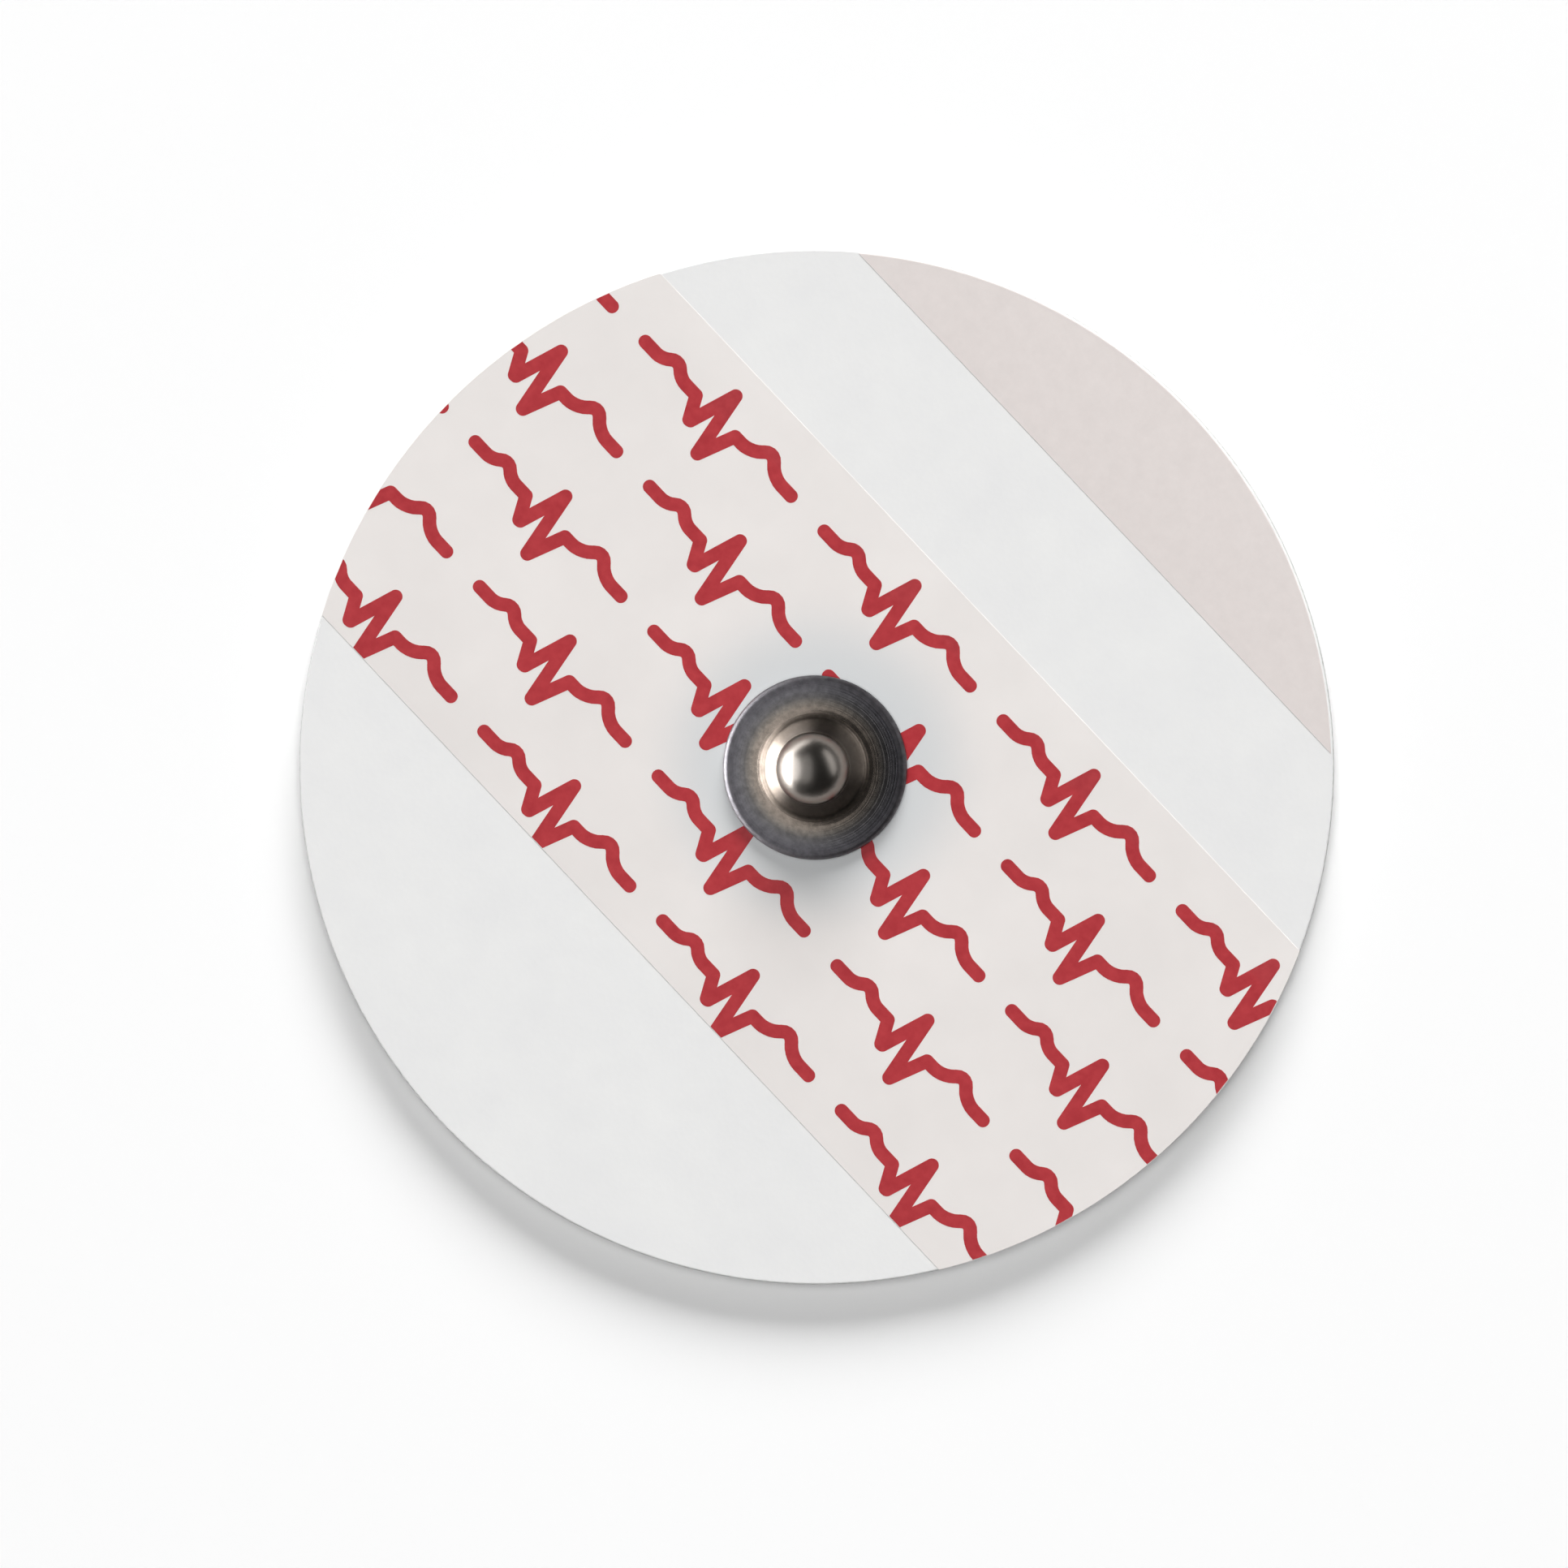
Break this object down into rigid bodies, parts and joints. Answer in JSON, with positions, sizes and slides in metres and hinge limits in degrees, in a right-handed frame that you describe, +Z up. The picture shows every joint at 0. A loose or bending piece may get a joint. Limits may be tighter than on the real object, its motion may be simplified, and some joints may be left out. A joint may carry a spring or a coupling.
{
  "type": "ecg electrode",
  "caption": "Round adhesive foam electrode for heart monitoring, with a label strip, a finger tab, a gel pad on its underside and a metal snap stud for a lead wire.",
  "frame": {"origin": "centre of the disc on its adhesive skin-side face", "axes": "+Z up through the stud, away from the skin; +X along the label strip; +Y towards the finger tab"},
  "size_m": [0.055, 0.055, 0.006],
  "materials": {
    "foam": "fine closed cells, matte",
    "label_film": "satin",
    "tab_film": "matte",
    "stud_metal": "nickel plate, turned by the press",
    "silver_coating": "silver and silver chloride coating, matte",
    "hydrogel": "wet gloss"
  },
  "bodies": {
    "root": {"foam_disc": "foam", "label_strip": "label_film", "finger_tab": "tab_film", "snap_stud": "stud_metal", "sensor_eyelet": "silver_coating", "gel_pad": "hydrogel"}
  },
  "joints": []
}
